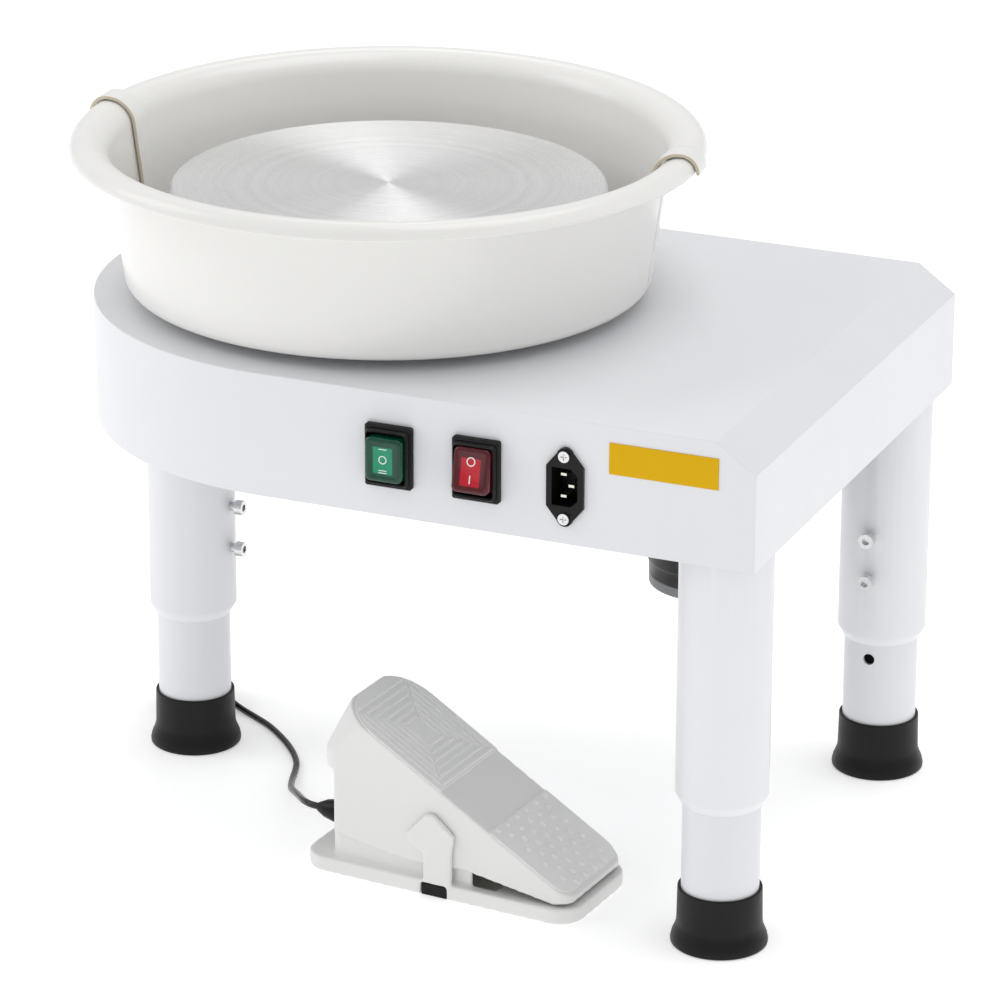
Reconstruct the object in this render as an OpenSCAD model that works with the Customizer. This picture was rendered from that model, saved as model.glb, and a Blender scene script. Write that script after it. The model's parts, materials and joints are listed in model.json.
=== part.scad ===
// Electric pottery wheel: a sheet-metal housing on three telescopic legs, a belt-driven wheel head
// in a two-part splash pan, a switch panel, and a foot pedal on a free cord.
// Sub-parts are drawn about the spindle axis, with the floor at z = 0, and in_frame() moves them so
// that the origin is the middle of the object's footprint.

/* [Housing] */
// Height of the housing's top plate above the floor
top_z = 342; // [340:1:344]
// Depth of the housing's skirt
skirt_h = 80; // [78:1:82]
// Half the housing's width, and the radius of its round end
half_w = 185; // [184:0.5:187]
// Distance from the spindle to the square end
end_x = 321.6; // [321:0.2:324]
// Run of the chamfer along the square end's top edge
chamfer_x = 25.6; // [20:0.2:28]
// Drop of the same chamfer
chamfer_z = 18; // [12:0.5:18]
// Sheet thickness
sheet = 1.2; // [1:0.1:1.3]

/* [Wheel head] */
// Diameter of the wheel head
wheel_d = 280; // [250:1:284]
// Height of its top face above the floor
wheel_top_z = 412; // [410:1:414]
// Thickness at its edge
wheel_t = 11; // [8:0.5:12]
// Diameter of the spindle shaft
shaft_d = 20; // [18:1:20]

/* [Splash pan] */
// Outer radius of the pan's rim
rim_r = 203; // [202:0.5:205]
// Height of the rim above the floor
rim_z = 447; // [445:1:450]
// Wall thickness
pan_t = 2.4; // [2:0.1:2.6]
// Gap between the nested ends of the two halves
lap_gap = 1; // [0.9:0.1:1.2]
// Angle that each overlap spans
lap_angle = 5; // [4:0.5:6]
// Turn of the pan about the spindle
pan_turn = 4.5; // [0:0.5:6]

/* [Legs] */
// Outer radius of a leg's fixed tube
tube_r = 29; // [28.5:0.1:29]
// Outer radius of its sliding post
post_r = 24.3; // [23.5:0.1:24.5]
// Height of the fixed tube's lower end
tube_low_z = 95; // [90:1:98]
// Pitch of the height holes
hole_pitch = 29.5; // [28:0.5:30]
// Height of the rubber foot
foot_h = 38; // [34:1:42]

/* [Foot pedal] */
// Length of the pedal's base
pedal_l = 195; // [190:1:200]
// Width of the pedal's base
pedal_w = 84; // [83:0.5:86]
// Slope of the treadle at rest, in degrees
tread_slope = 30.7; // [30:0.1:31.2]

/* [Hidden] */

$fn = 96;
eps = 1;
round_x = -5;
bottom_z = top_z - skirt_h;
plate_z = top_z - sheet;
front_y = -half_w;

// The pan's overlap strips reach furthest to the left, so they and the square end set the middle
lap_step = pan_t + lap_gap;
spindle_x = -(end_x - (rim_r + lap_step)) / 2;

module in_frame() translate([spindle_x, 0, 0]) children();

module disc(z0, z1, r, hole = 0) {
    translate([0, 0, z0]) linear_extrude(z1 - z0) difference() {
        circle(r);
        if (hole > 0) circle(hole);
    }
}

module box(x0, x1, y0, y1, z0, z1) translate([x0, y0, z0]) cube([x1 - x0, y1 - y0, z1 - z0]);

module rounded_plate(l, w, r, t) {
    linear_extrude(t) union() {
        square([l - 2 * r, w], center = true);
        square([l, w - 2 * r], center = true);
        for (sx = [-1, 1], sy = [-1, 1]) translate([sx * (l / 2 - r), sy * (w / 2 - r)]) circle(r);
    }
}

// ---------------------------------------------------------------- housing

module housing_outline(inset) union() {
    translate([round_x, 0]) circle(half_w - inset, $fn = 180);
    translate([round_x, -half_w + inset]) square([end_x - round_x - inset, 2 * (half_w - inset)]);
}

// Side profile with the chamfered end, shrunk by the sheet's thickness for the inside
module housing_block(inset) {
    low = inset > 0 ? bottom_z - eps : bottom_z;
    run = inset / tan(90 - atan2(chamfer_z, chamfer_x) / 2);
    drop = inset / tan(90 - atan2(chamfer_x, chamfer_z) / 2);
    intersection() {
        translate([0, 0, low]) linear_extrude(top_z - inset - low) housing_outline(inset);
        rotate([90, 0, 0]) linear_extrude(2 * half_w + 2, center = true) polygon([
            [round_x - half_w - eps, low], [end_x - inset, low],
            [end_x - inset, top_z - chamfer_z - drop],
            [end_x - chamfer_x - run, top_z - inset], [round_x - half_w - eps, top_z - inset]]);
    }
}

switch_z = 302;
direction_x = 84.5;
power_x = 142.4;
inlet_x = 200.2;
inlet_z = 299.3;
inlet_pitch = 40;
pin_at = [[-2, 7], [-2, -7], [3, 0]];
switch_cut = [22.2, 29.8];
inlet_cut = [20, 27];
neck_r = 36;

module housing_shell() in_frame() color("whitesmoke") difference() {
    housing_block(0);
    housing_block(sheet);
    disc(plate_z - eps, top_z + eps, neck_r + 0.3);
    for (x = [direction_x, power_x])
        translate([x, front_y, switch_z]) cube([switch_cut[0], 10, switch_cut[1]], center = true);
    translate([inlet_x, front_y, inlet_z]) cube([inlet_cut[0], 10, inlet_cut[1]], center = true);
    for (s = [-1, 1]) translate([inlet_x, front_y - 5, inlet_z + s * inlet_pitch / 2])
        rotate([-90, 0, 0]) cylinder(h = 10, r = 1.6);
    for (a = [45:90:315]) rotate(a) translate([bearing_bolt_r, 0, plate_z - eps])
        cylinder(h = 4, r = 3);
}

// ---------------------------------------------------------------- legs

// Each leg: place, the turn of its lock screws, and which way its flange points
leg_at = [[-145, 0], [291, -150], [291.3, 146]];
screw_turn = [0, 90, -90];
flange_turn = [0, 180, 180];
flange_z = 316;
flange_t = 4;
channel_z = flange_z + flange_t;
channel_wall = 2;
bore_r = post_r + 0.4;
bolt_x = 45;
bolt_y = 20;
screw_low_z = 143.5;
open_hole_z = screw_low_z - 2 * hole_pitch;
post_low_z = 6;
post_top_z = 258;
lock_r = 3;
foot_r = 26.8;
foot_flare_r = 30.5;

module leg_tube(i) {
    translate([leg_at[i].x, leg_at[i].y, 0]) difference() {
        union() {
            rotate_extrude() polygon([[bore_r, tube_low_z], [bore_r + 0.35, tube_low_z],
                [tube_r, tube_low_z + 7], [tube_r, flange_z], [bore_r, flange_z]]);
            rotate(flange_turn[i]) translate([-28, -29, flange_z]) cube([82, 58, flange_t]);
        }
        for (k = [0, 1]) translate([0, 0, screw_low_z + k * hole_pitch]) rotate(screw_turn[i])
            rotate([0, 90, 0]) cylinder(h = 40, r = lock_r);
        rotate(flange_turn[i]) for (s = [-1, 1]) translate([bolt_x, s * bolt_y, flange_z - eps])
            cylinder(h = 8, r = 4);
    }
}

module leg_tube_left() in_frame() color("whitesmoke") leg_tube(0);
module leg_tube_front() in_frame() color("whitesmoke") leg_tube(1);
module leg_tube_rear() in_frame() color("whitesmoke") leg_tube(2);

// A sliding post with its row of height holes on the side that faces the lock screws
module leg_post(i) {
    translate([leg_at[i].x, leg_at[i].y, 0]) difference() {
        disc(post_low_z, post_top_z, post_r, post_r - 2);
        for (k = [(i == 0 ? 1 : 0):5]) translate([0, 0, open_hole_z + k * hole_pitch])
            rotate(screw_turn[i]) translate([10, 0, 0]) rotate([0, 90, 0]) cylinder(h = 20, r = 3.9);
    }
}

module leg_post_left() in_frame() color("whitesmoke") leg_post(0);
module leg_post_front() in_frame() color("whitesmoke") leg_post(1);
module leg_post_rear() in_frame() color("whitesmoke") leg_post(2);

module rubber_foot(i) {
    translate([leg_at[i].x, leg_at[i].y, 0]) rotate_extrude() polygon([
        [0, 0], [foot_flare_r - 0.9, 0], [foot_flare_r - 0.2, 0.8], [foot_flare_r, 2.5],
        [foot_flare_r - 0.8, 6], [foot_r + 1.2, 10], [foot_r + 0.2, 13], [foot_r, 16],
        [foot_r - 0.4, foot_h], [post_r, foot_h], [post_r, post_low_z], [0, post_low_z]]);
}

module foot_left() in_frame() color([0.08, 0.08, 0.08]) rubber_foot(0);
module foot_front() in_frame() color([0.08, 0.08, 0.08]) rubber_foot(1);
module foot_rear() in_frame() color([0.08, 0.08, 0.08]) rubber_foot(2);

// Lock screws, backed out so that their tips stay clear of the sliding post
module lock_screw() {
    tip = post_r + 0.7;
    rotate([0, 90, 0]) difference() {
        union() {
            translate([0, 0, tip]) cylinder(h = 12, r = lock_r);
            translate([0, 0, tip + 8]) cylinder(h = 5.5, r = 5);
        }
        translate([0, 0, tip + 10.5]) cylinder(h = 5, r = 2.6, $fn = 6);
    }
}

module leg_lock_screws() in_frame() color("silver") for (i = [0:2], k = [0, 1])
    translate([leg_at[i].x, leg_at[i].y, screw_low_z + k * hole_pitch]) rotate(screw_turn[i])
        lock_screw();

// Folded channels under the top plate that the leg flanges bolt to
module channel(x0, x1, y0, y1) {
    difference() {
        box(x0, x1, y0, y1, channel_z, plate_z);
        box(x0 + channel_wall, x1 - channel_wall, y0 - eps, y1 + eps, channel_z + channel_wall,
            plate_z + eps);
        for (i = [0:2], s = [-1, 1]) translate([leg_at[i].x, leg_at[i].y, channel_z - eps])
            rotate(flange_turn[i]) translate([bolt_x, s * bolt_y, 0]) cylinder(h = 4, r = 4);
    }
}

module leg_channels() in_frame() color("silver") {
    channel(-115, -85, -60, 60);
    channel(231, 261, -178, 178);
}

module leg_bolts() in_frame() color("silver") for (i = [0:2], s = [-1, 1])
    translate([leg_at[i].x, leg_at[i].y, 0]) rotate(flange_turn[i])
        translate([bolt_x, s * bolt_y, 0]) {
            translate([0, 0, flange_z - 5.3]) cylinder(h = 5.3, r = 6.5, $fn = 6);
            translate([0, 0, flange_z - 1]) cylinder(h = 16, r = 4);
            disc(channel_z + channel_wall, channel_z + channel_wall + 6, 6.8, 3.9);
        }

// ---------------------------------------------------------------- spindle and drive

shaft_r = shaft_d / 2;
bearing_r = 21;
bearing_w = 12;
bearing_low_z = 300;
bearing_high_z = 360;
bearing_bolt_r = 47;
pulley_z = 270;
pulley_h = 18;
pulley_r = 85;
motor_x = 224;
motor_pulley_r = 20;
motor_r = 40.6;
motor_top_z = 262;
motor_low_z = 181.7;
motor_ring_z = 175;
motor_bolt_r = 28;
belt_t = 2.5;
belt_gap = 0.3;

module bearing_housing() in_frame() color("silver") difference() {
    rotate_extrude() polygon([[13, 296], [27, 296], [27, plate_z - 8], [56, plate_z - 8],
        [56, plate_z], [neck_r, plate_z], [neck_r, 378], [13, 378],
        [13, bearing_high_z + bearing_w], [bearing_r, bearing_high_z + bearing_w],
        [bearing_r, bearing_high_z], [15, bearing_high_z], [15, bearing_low_z + bearing_w],
        [bearing_r, bearing_low_z + bearing_w], [bearing_r, bearing_low_z], [13, bearing_low_z]]);
    for (a = [45:90:315]) rotate(a) translate([bearing_bolt_r, 0, plate_z - 9])
        cylinder(h = 12, r = 3);
}

module bearing_housing_bolts() in_frame() color("silver") for (a = [45:90:315])
    rotate(a) translate([bearing_bolt_r, 0, 0]) {
        translate([0, 0, plate_z - 12]) cylinder(h = 12 + sheet, r = 3);
        translate([0, 0, top_z]) cylinder(h = 3, r = 5);
        disc(plate_z - 13, plate_z - 8, 5.6, 2.9);
    }

module spindle_bearings() in_frame() color("silver")
    for (z = [bearing_low_z, bearing_high_z]) disc(z, z + bearing_w, bearing_r, shaft_r + 0.05);

module spindle_shaft() in_frame() color("silver") disc(266, wheel_top_z - 5, shaft_r);

hub_z = wheel_top_z - wheel_t - 13;

module wheel_hub() in_frame() color("silver") difference() {
    rotate_extrude() polygon([[shaft_r, hub_z], [20, hub_z], [20, hub_z + 7], [34, hub_z + 7],
        [34, hub_z + 13], [shaft_r, hub_z + 13]]);
    for (a = [0:120:240]) rotate(a) translate([27, 0, hub_z]) cylinder(h = 20, r = 3);
}

module hub_screws() in_frame() color("silver") for (a = [0:120:240])
    rotate(a) translate([27, 0, 0]) {
        translate([0, 0, hub_z + 7]) cylinder(h = 13, r = 3);
        translate([0, 0, hub_z + 2.5]) cylinder(h = 4.5, r = 5);
    }

module wheel_head() in_frame() color([0.8, 0.8, 0.82]) difference() {
    rotate_extrude($fn = 180) polygon([[0, hub_z + 13], [wheel_d / 2 - 4, wheel_top_z - wheel_t],
        [wheel_d / 2 - 0.8, wheel_top_z - wheel_t + 1.5], [wheel_d / 2, wheel_top_z - wheel_t + 3],
        [wheel_d / 2, wheel_top_z - 2], [wheel_d / 2 - 2, wheel_top_z], [0, wheel_top_z]]);
    disc(hub_z, wheel_top_z - 5, shaft_r);
    for (a = [0:120:240]) rotate(a) translate([27, 0, hub_z]) cylinder(h = 20, r = 3);
}

// A pulley with flanges that keep the belt in place
module pulley(r, bore, edge) rotate_extrude() polygon([[bore, pulley_z], [r + edge, pulley_z],
    [r + edge, pulley_z + 1], [r, pulley_z + 1.5], [r, pulley_z + pulley_h - 1.5],
    [r + edge, pulley_z + pulley_h - 1], [r + edge, pulley_z + pulley_h],
    [bore, pulley_z + pulley_h]]);

module driven_pulley() in_frame() color("dimgray") difference() {
    pulley(pulley_r, shaft_r, 1.5);
    for (a = [0:60:300]) rotate(a) translate([50, 0, pulley_z - eps])
        cylinder(h = pulley_h + 2, r = 16);
}

module motor_pulley() in_frame() translate([motor_x, 0, 0]) color("dimgray")
    pulley(motor_pulley_r, 6, 1.5);

module motor_shaft() in_frame() translate([motor_x, 0, 0]) color("silver")
    disc(motor_top_z + 1, pulley_z + pulley_h + 4, 6);

// Outline of a belt run round both pulleys, a clearance outside them
module belt_outline(extra) {
    big = pulley_r + extra;
    small = motor_pulley_r + extra;
    lean = acos((big - small) / motor_x);
    polygon(concat(arc(0, 0, big, lean, 360 - lean, 40), arc(motor_x, 0, small, -lean, lean, 18)));
}

module drive_belt() in_frame() color([0.1, 0.1, 0.1])
    translate([0, 0, pulley_z + 2]) linear_extrude(pulley_h - 4) difference() {
        belt_outline(belt_gap + belt_t);
        belt_outline(belt_gap);
    }

module motor_body() in_frame() translate([motor_x, 0, 0]) color([0.1, 0.1, 0.1]) difference() {
    rotate_extrude() polygon([[0, motor_low_z], [motor_r - 1.5, motor_low_z],
        [motor_r - 1.5, motor_low_z + 8], [motor_r, motor_low_z + 11],
        [motor_r, motor_top_z - 3], [motor_r - 3, motor_top_z], [0, motor_top_z]]);
    disc(motor_top_z - 8, motor_top_z + eps, 6.5);
    for (a = [45:90:315]) rotate(a) translate([motor_bolt_r, 0, motor_top_z - 8]) cylinder(h = 10, r = 2.5);
}

module motor_end_ring() in_frame() translate([motor_x, 0, 0]) color("gray") difference() {
    disc(motor_ring_z, motor_low_z, motor_r - 1.6);
    disc(motor_ring_z - eps, motor_ring_z + 2, 22);
}

post_dx = 50;
post_dy = 48;

module motor_bracket() in_frame() translate([motor_x, 0, 0]) color("silver") difference() {
    union() {
        box(-62, 62, -58, 58, motor_top_z, motor_top_z + 4);
        for (sx = [-1, 1], sy = [-1, 1]) translate([sx * post_dx, sy * post_dy, 0])
            disc(motor_top_z + 4, plate_z, 6);
    }
    disc(motor_top_z - eps, motor_top_z + 5, 14);
    for (a = [45:90:315]) rotate(a) translate([motor_bolt_r, 0, motor_top_z - eps])
        cylinder(h = 6, r = 2.5);
}

module motor_screws() in_frame() translate([motor_x, 0, 0]) color("silver")
    for (a = [45:90:315]) rotate(a) translate([motor_bolt_r, 0, 0]) {
        translate([0, 0, motor_top_z - 8]) cylinder(h = 12, r = 2.5);
        translate([0, 0, motor_top_z + 4]) cylinder(h = 2, r = 4.5);
    }

// ---------------------------------------------------------------- electrics

module controller_box() in_frame() color("silver") difference() {
    box(70, 190, 100, 165, 288, plate_z);
    box(72, 188, 102, 163, 290, plate_z + eps);
}

module control_board() in_frame() color("darkgreen") {
    box(76, 184, 106, 159, 300, 301.6);
    box(84, 104, 112, 132, 301.6, 326);
    box(120, 150, 112, 122, 301.6, 318);
    translate([165, 140, 0]) disc(301.6, 330, 10);
    for (sx = [80, 180], sy = [110, 155]) translate([sx, sy, 0]) disc(290, 300, 3);
}

// The bracket that holds the pedal cord's gland, behind the left leg
gland_at = [-150.4, 42];

module cord_bracket() in_frame() color("silver") difference() {
    union() {
        box(gland_at.x - 14, gland_at.x + 22, gland_at.y - 12, gland_at.y + 12, 276, 279);
        box(gland_at.x + 19, gland_at.x + 22, gland_at.y - 12, gland_at.y + 12, 279, plate_z);
    }
    translate([gland_at.x, gland_at.y, 275]) cylinder(h = 5, r = 6);
}

// A cable gland: threaded shank, hexagon and domed nut, bored for the cord
module gland(dome) difference() {
    rotate_extrude() polygon([[0, 0], [3, 0], [6, -dome * 0.3], [7.5, -dome * 0.62],
        [7.5, -dome], [6, -dome], [6, -dome - 10], [0, -dome - 10]]);
    translate([0, 0, -dome - 11]) cylinder(h = dome + 12, r = cord_d / 2);
}

module housing_gland() in_frame() color([0.08, 0.08, 0.08])
    translate([gland_at.x, gland_at.y, 276 - gland_dome]) rotate([180, 0, 0]) gland(gland_dome);

// Switches are drawn with the panel at y = 0 and the outside towards -y
switch_size = [31, 40];
switch_proud = 4.5;
rocker_y = -1;
rocker_tilt = 12;

module on_panel(x, z) translate([x, front_y, z]) children();

module switch_body() difference() {
    union() {
        box(-switch_size.x / 2, switch_size.x / 2, -switch_proud, 0,
            -switch_size.y / 2, switch_size.y / 2);
        box(-11, 11, 0, 22, -14.8, 14.8);
    }
    box(-12.6, 12.6, -switch_proud - eps, -0.3, -15.3, 15.3);
    translate([-9.3, rocker_y, 0]) rotate([0, 90, 0]) cylinder(h = 18.6, r = 3.3);
}

module rocker_part() {
    box(-10.8, 10.8, -10.4, -3.6, -12.8, 12.8);
    translate([-9, rocker_y, 0]) rotate([0, 90, 0]) cylinder(h = 18, r = 3);
}

module rocker_cover() difference() {
    box(-12, 12, -11.8, -3.8, -14, 14);
    box(-10.8, 10.8, -10.4, -3.6, -12.8, 12.8);
}

module tilted(angle) translate([0, rocker_y, 0]) rotate([angle, 0, 0])
    translate([0, -rocker_y, 0]) children();

module direction_switch_body() in_frame() color([0.06, 0.06, 0.06])
    on_panel(direction_x, switch_z) switch_body();
module direction_rocker() in_frame() color("seagreen")
    on_panel(direction_x, switch_z) rocker_part();
module direction_cover() in_frame() color("darkgreen")
    on_panel(direction_x, switch_z) rocker_cover();
module power_switch_body() in_frame() color([0.06, 0.06, 0.06])
    on_panel(power_x, switch_z) switch_body();
module power_rocker() in_frame() color("red")
    on_panel(power_x, switch_z) tilted(-rocker_tilt) rocker_part();
module power_cover() in_frame() color("darkred")
    on_panel(power_x, switch_z) tilted(-rocker_tilt) rocker_cover();

// Mains inlet: a flange with two screw ears and a socket with two cut corners
module inlet_body() in_frame() color([0.06, 0.06, 0.06]) on_panel(inlet_x, inlet_z) difference() {
    union() {
        rotate([90, 0, 0]) linear_extrude(2.6) union() {
            polygon([[-12, -13], [-5, -21.5], [5, -21.5], [12, -13], [12, 13], [5, 21.5],
                [-5, 21.5], [-12, 13]]);
            for (s = [-1, 1]) translate([0, s * inlet_pitch / 2]) circle(5.2);
        }
        box(-10, 10, 0, 20, -13.5, 13.5);
    }
    translate([0, 16, 0]) rotate([90, 0, 0]) linear_extrude(20) polygon([[-8.4, -12.2],
        [4, -12.2], [8.4, -8], [8.4, 8], [4, 12.2], [-8.4, 12.2]]);
    for (s = [-1, 1]) translate([0, 1, s * inlet_pitch / 2]) rotate([90, 0, 0])
        cylinder(h = 5, r = 1.6);
    for (p = pin_at) box(p.x - 2, p.x + 2, 15, 21, p.y - 1, p.y + 1);
}

module inlet_pins() in_frame() color("silver") on_panel(inlet_x, inlet_z)
    for (p = pin_at) box(p.x - 2, p.x + 2, 1, 24, p.y - 1, p.y + 1);

module inlet_screws() in_frame() color("silver") on_panel(inlet_x, inlet_z)
    for (s = [-1, 1]) translate([0, 0, s * inlet_pitch / 2]) rotate([90, 0, 0]) {
        translate([0, 0, -8]) cylinder(h = 10.6, r = 1.6);
        translate([0, 0, 2.6]) difference() {
            cylinder(h = 1.8, r = 3.6);
            for (a = [0, 90]) rotate(a) translate([-2, -0.35, 0.8]) cube([4, 0.7, 2]);
        }
    }

module label_plate() in_frame() color("gold")
    box(228, 298, front_y - 0.6, front_y, 311.5, 331.5);

// ---------------------------------------------------------------- splash pan

function arc(cx, cz, r, a0, a1, n) = [for (i = [0:n])
    let (a = a0 + (a1 - a0) * i / n) [cx + r * cos(a), cz + r * sin(a)]];

pan_floor_z = 350.2;
collar_r = 46;
collar_top_z = 384;
wall_lean = 7.5;
wall_low_r = 168.8;
rim_mid_z = rim_z - pan_t / 2;

// Middle line of the pan's section: collar, floor, wall, flared rim and lip
pan_line = concat(
    [[collar_r, collar_top_z]],
    arc(collar_r + 8, pan_floor_z + 8, 8, 180, 270, 5),
    arc(wall_low_r - 9.9, pan_floor_z + 10, 10, -90, -wall_lean, 5),
    arc(rim_r - 9.8, rim_mid_z - 14.8, 14.8, 180 - wall_lean, 90, 6),
    arc(rim_r - 9, rim_mid_z - 7.8, 7.8, 84, -4, 6));

function unit(v) = v / norm(v);
function turned(v) = [-v.y, v.x];
function normal_at(line, i) = let (n = len(line) - 1)
    turned(unit(line[min(i + 1, n)] - line[max(i - 1, 0)]));

// A band of the pan's thickness, a distance off its middle line towards the wet side
function band(line, off) = concat(
    [for (i = [0:len(line) - 1]) line[i] + normal_at(line, i) * (off + pan_t / 2)],
    [for (i = [len(line) - 1:-1:0]) line[i] + normal_at(line, i) * (off - pan_t / 2)]);

module pan_arc(a0, a1, off) rotate(a0) rotate_extrude(angle = a1 - a0, $fn = 120)
    polygon(band(pan_line, off));

module pan_front() in_frame() rotate(pan_turn) color("ivory")
    pan_arc(180 - lap_angle, 360 + lap_angle, 0);

// The back half's ends step up and over the front half's, with a web where they step
lap_rise = 0.7;
lap_web = 1.2;
web_line = concat(
    [for (i = [0:len(pan_line) - 1])
        pan_line[i] + normal_at(pan_line, i) * (lap_step + pan_t / 2)],
    [for (i = [len(pan_line) - 1:-1:0]) pan_line[i] - normal_at(pan_line, i) * pan_t / 2]);

module pan_back() in_frame() rotate(pan_turn) color("ivory") union() {
    step = lap_angle + lap_rise;
    pan_arc(step + 0.4, 180 - step - 0.4, 0);
    pan_arc(0, step + 0.4, lap_step);
    pan_arc(180 - step - 0.4, 180, lap_step);
    for (a = [step, 180 - step - lap_web])
        rotate(a) rotate_extrude(angle = lap_web, $fn = 120) polygon(web_line);
}

module pan_pads(a0) for (a = [a0:50:a0 + 100]) rotate(a) translate([125, 0, 0])
    disc(top_z + 0.1, pan_floor_z - pan_t / 2, 9);

module pan_pads_front() in_frame() rotate(pan_turn) color("gray") pan_pads(220);
module pan_pads_back() in_frame() rotate(pan_turn) color("gray") pan_pads(40);

// ---------------------------------------------------------------- foot pedal

pedal_at = [107.6, -122.5];
pedal_yaw = -5;
base_t = 10;
pivot = [-3, 42];
skirt_y = pedal_w / 2 - 3.7;
skirt_t = 2.2;
wall_y = skirt_y - skirt_t - 0.5;
high_x = -71;
high_z = 116.4;
low_x = 94.5;
pad_t = 1.2;
rear_x = -79.5;
pin_r = 3;

module on_pedal() in_frame() translate(pedal_at) rotate(pedal_yaw) children();

// A solid with the given x-z outline, as wide as the pedal
module side_slab(points, y0, y1) translate([0, y1, 0]) rotate([90, 0, 0])
    linear_extrude(y1 - y0) polygon(points);

module pivot_bore(r, reach = 60) translate([pivot.x, reach, pivot.y]) rotate([90, 0, 0])
    cylinder(h = 2 * reach, r = r);

// Plan of the upright housing, with its rear corners rounded
module upright_prism(inset) translate([rear_x + 80, 0, 0])
    rounded_plate(160 - 2 * inset, 2 * (wall_y - inset), 9 - inset, 130);

module pedal_base() on_pedal() color("ivory") difference() {
    union() {
        rounded_plate(pedal_l, pedal_w, 17, base_t);
        // Upright housing under the treadle
        intersection() {
            side_slab([[rear_x, base_t - 1], [24, base_t - 1], [24, 24], [6, 50], [-24, 60],
                [-60, 68], [rear_x, 68]], -wall_y, wall_y);
            upright_prism(0);
        }
        // Ears that carry the pivot pins
        for (s = [-1, 1]) side_slab([[-8, 0.5], [12, 0.5], [12, 30], [14, 44], [0, 56], [-6, 56],
            [-20, 40], [-18, 33], [-8, 29]], s > 0 ? skirt_y + 0.5 : -pedal_w / 2 - 0.6,
            s > 0 ? pedal_w / 2 + 0.6 : -skirt_y - 0.5);
    }
    // Hollow of the upright housing and of the plate's underside
    intersection() {
        side_slab([[rear_x + 2.2, base_t - 7], [40, base_t - 7], [40, 80], [rear_x + 2.2, 80]],
            -wall_y + 2.2, wall_y - 2.2);
        upright_prism(2.2);
    }
    // Notches where the rubber strip shows
    for (s = [-1, 1]) box(-10, 9, s * (pedal_w / 2 - 2) - 4, s * (pedal_w / 2 - 2) + 4, -eps,
        base_t - 1.5);
    translate([0, 0, -eps]) box(-10, 9, -pedal_w / 2, pedal_w / 2, 0, 3);
    pivot_bore(pin_r, pedal_w / 2 - 1);
    translate([rear_x - 5, gland_y, gland_z]) rotate([0, 90, 0]) cylinder(h = 10, r = 6);
}

// Outline of the treadle from the side; the inner one is a wall's thickness inside it
function tread_z(x, under) = high_z - (x - high_x) * tan(tread_slope)
    - under / cos(tread_slope);

tread_outer = [[high_x, tread_z(high_x, pad_t)], [low_x, tread_z(low_x, pad_t)],
    [low_x - 1, 12.5], [82, 11.5], [20, 21], [-22, 19], [-75, 27], [-75, 70], [-82.6, 71],
    [-84.5, 82]];
tread_inner = [[high_x + 1.5, tread_z(high_x + 1.5, pad_t + 3)],
    [low_x - 2.6, tread_z(low_x - 2.6, pad_t + 3)], [low_x - 3, 5], [-75, 5], [-75, 69],
    [-80.2, 69], [-82.2, 82]];

module plan_prism(inset) translate([(low_x - 84.5) / 2, 0, 0])
    rounded_plate(low_x + 84.5 - 2 * inset, 2 * (skirt_y - inset), 12 - inset, 130);

// Each corner of the high end is rounded on a leaning axis, so it tightens towards the bottom
corner_r = 28;

module corner_prism(s, inset) translate([high_x - 0.6, s * (skirt_y + 0.6), high_z])
    rotate([s * 7.6, 28, 0]) translate([150, -s * 150, -150])
        rounded_plate(300 - 2 * inset, 300 - 2 * inset, corner_r - inset, 190);

module pedal_treadle() on_pedal() color("ivory") difference() {
    intersection() {
        side_slab(tread_outer, -50, 50);
        plan_prism(0);
        corner_prism(1, 0);
        corner_prism(-1, 0);
    }
    intersection() {
        side_slab(tread_inner, -skirt_y + skirt_t, skirt_y - skirt_t);
        plan_prism(skirt_t);
        corner_prism(1, skirt_t);
        corner_prism(-1, skirt_t);
    }
    pivot_bore(pin_r + 0.05);
}

// Pads are drawn on the treadle's slope, with x running down it from the high end
module on_slope() on_pedal() translate([high_x, 0, tread_z(high_x, pad_t)])
    rotate([0, tread_slope, 0]) children();

toe_start = 1.5;
toe_len = 84;
heel_start = 125.6;
heel_len = 63;
dome_rows = 9;
dome_pitch = 12.4;
dome_row_pitch = 7.1;
pad_half_w = skirt_y - 0.5;

// Outline of a pad that is square at x = length and has two round corners at x = 0
module pad_outline(length, r) union() {
    translate([r, -pad_half_w]) square([length - r, 2 * pad_half_w]);
    translate([0, r - pad_half_w]) square([length, 2 * (pad_half_w - r)]);
    for (s = [-1, 1]) translate([r, s * (pad_half_w - r)]) circle(r);
}

module toe_pad() on_slope() color("lightgray") translate([toe_start, 0, 0])
    linear_extrude(pad_t) pad_outline(toe_len, corner_r - 1);

// Rows of domes, each row half a pitch off the next
module heel_pad() on_slope() color("lightgray") union() {
    translate([heel_start + heel_len, 0, 0]) rotate(180) linear_extrude(pad_t - 0.4)
        pad_outline(heel_len, 11);
    for (i = [0:dome_rows - 1]) let (last = i == 0 ? 5 : i % 2 == 1 ? 4 : 3) for (j = [0:last])
        translate([heel_start + 3 + i * dome_row_pitch, (j - last / 2) * dome_pitch, 0])
            cylinder(h = pad_t + 1, r = 2.2, $fn = 24);
}

module pedal_pins() on_pedal() color("silver") for (s = [-1, 1])
    translate([pivot.x, s > 0 ? pedal_w / 2 - 1 : -pedal_w / 2 + 13, pivot.y])
        rotate([90, 0, 0]) cylinder(h = 12, r = pin_r);

// Return spring between the base and the treadle's underside
spring_x = -52;
spring_r = 8;
spring_turns = 7;
spring_low_z = 4;
spring_high_z = 93.5;
spring_path = [for (k = [0:10 * spring_turns]) [spring_r * cos(36 * k), spring_r * sin(36 * k),
    spring_low_z + (spring_high_z - spring_low_z) * k / (10 * spring_turns)]];

module pedal_spring() on_pedal() color("silver") translate([spring_x, 0, 0])
    tube(spring_path, 0.9, [0, 0, 1], 6);

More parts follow.
